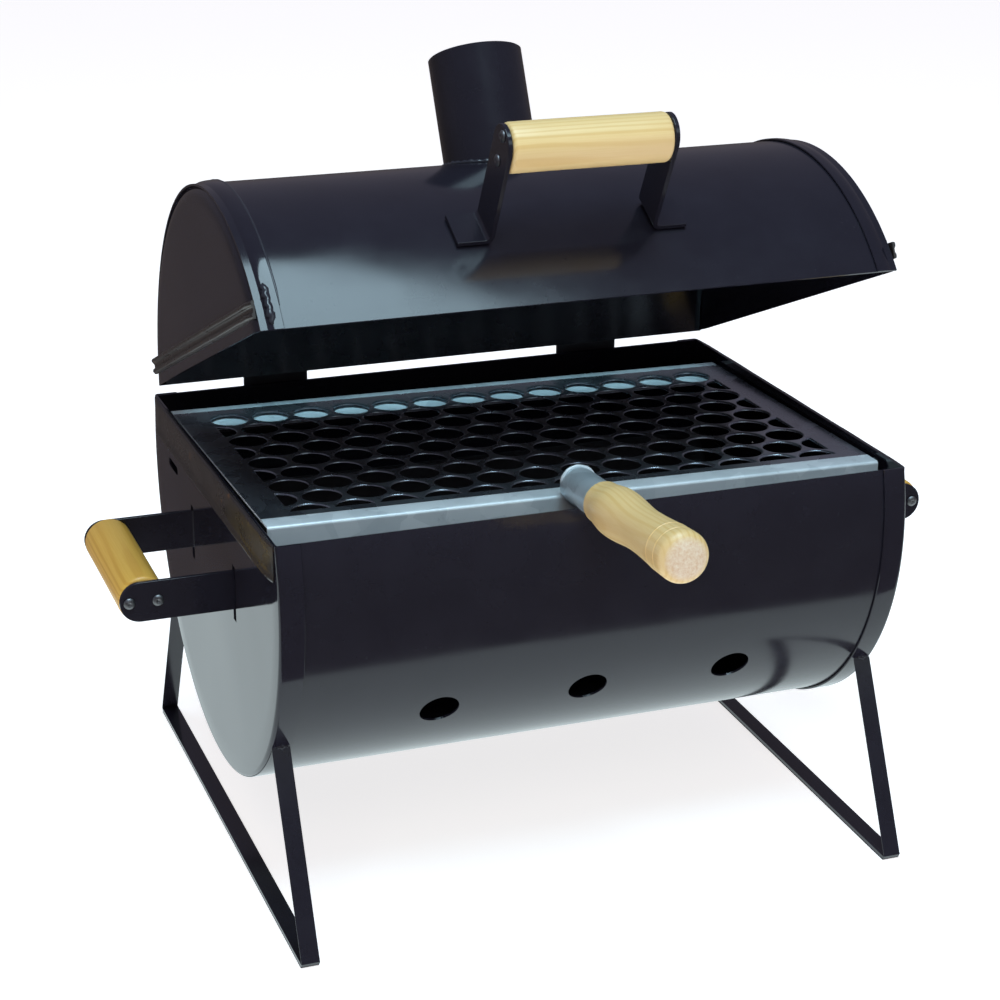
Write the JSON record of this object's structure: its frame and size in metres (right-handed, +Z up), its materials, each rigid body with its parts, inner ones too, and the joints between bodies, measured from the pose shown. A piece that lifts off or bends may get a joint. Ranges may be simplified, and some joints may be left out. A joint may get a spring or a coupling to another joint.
{
  "type": "barrel charcoal grill",
  "caption": "Small barrel charcoal grill on strap legs: hinged half-barrel lid with chimney, perforated lift-out grate and wooden grips.",
  "frame": {"origin": "ground level under the middle of the object's footprint, as it stands with the lid ajar", "axes": "+Z up; +X along the barrel to the user's right; -Y towards the front, where the grate's handle points"},
  "size_m": [0.608, 0.5261, 0.5554],
  "materials": {
    "black_paint": "gloss",
    "galvanised_steel": "satin",
    "pine_grip": "satin",
    "plated_steel": "satin"
  },
  "bodies": {
    "barrel": {"body_end_left": "black_paint", "body_end_right": "black_paint", "body_shell": "black_paint", "charcoal_tray": "black_paint", "grate_rest_front": "black_paint", "grate_rest_rear": "black_paint", "hinge_leaf_lower_left": "black_paint", "hinge_leaf_lower_right": "black_paint", "hinge_pin_left": "plated_steel", "hinge_pin_right": "plated_steel", "leg_frame_left": "black_paint", "leg_frame_right": "black_paint", "side_bar_left_front": "black_paint", "side_bar_left_rear": "black_paint", "side_bar_right_front": "black_paint", "side_bar_right_rear": "black_paint", "side_grip_left": "pine_grip", "side_grip_right": "pine_grip", "side_screw_left_front_inner": "plated_steel", "side_screw_left_front_outer": "plated_steel", "side_screw_left_rear_inner": "plated_steel", "side_screw_left_rear_outer": "plated_steel", "side_screw_right_front_inner": "plated_steel", "side_screw_right_front_outer": "plated_steel", "side_screw_right_rear_inner": "plated_steel", "side_screw_right_rear_outer": "plated_steel", "tray_bar_front": "black_paint", "tray_bar_rear": "black_paint"},
    "lid": {"chimney_pipe": "black_paint", "hinge_leaf_upper_left": "black_paint", "hinge_leaf_upper_right": "black_paint", "lid_bracket_left": "black_paint", "lid_bracket_right": "black_paint", "lid_end_left": "black_paint", "lid_end_right": "black_paint", "lid_grip": "pine_grip", "lid_screw_left_lower": "plated_steel", "lid_screw_left_upper": "plated_steel", "lid_screw_right_lower": "plated_steel", "lid_screw_right_upper": "plated_steel", "lid_shell": "black_paint"},
    "grate": {"grate_ferrule": "galvanised_steel", "grate_grip": "pine_grip", "grate_rod": "plated_steel", "grate_sheet": "galvanised_steel"}
  },
  "joints": [
    {"name": "lid_hinge", "type": "hinge", "parent": "barrel", "child": "lid", "pos_m": [0, 0.238, 0.297], "axis": [-1, 0, 0], "range_deg": [-17.2, 71.9]},
    {"name": "grate_lift", "type": "slide", "parent": "barrel", "child": "grate", "axis": [0, 0, 1], "range_m": [0, 0.01]}
  ]
}
